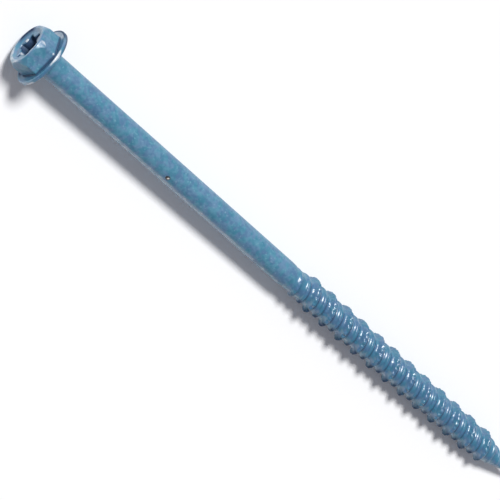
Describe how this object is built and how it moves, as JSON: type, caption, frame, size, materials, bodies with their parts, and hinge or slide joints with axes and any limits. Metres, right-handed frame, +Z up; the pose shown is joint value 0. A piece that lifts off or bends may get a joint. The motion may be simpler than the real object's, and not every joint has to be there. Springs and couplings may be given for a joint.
{
  "type": "concrete screw",
  "caption": "Long blue-coated concrete screw with a hex flange head, a star recess, a plain shank and a twin high-low thread that ends in a point.",
  "frame": {"origin": "centre of the bearing face under the flange, on the screw's axis", "axes": "+X from the head towards the tip along the floor, +Z up; the screw lies at rest on the flange rim and the thread, so its axis dips about 1.2 degrees towards the tip"},
  "size_m": [0.1313, 0.0112, 0.0113],
  "materials": {
    "blue_coating": "satin blue baked coating over steel"
  },
  "bodies": {
    "root": {"concrete_screw": "blue_coating"}
  },
  "joints": []
}
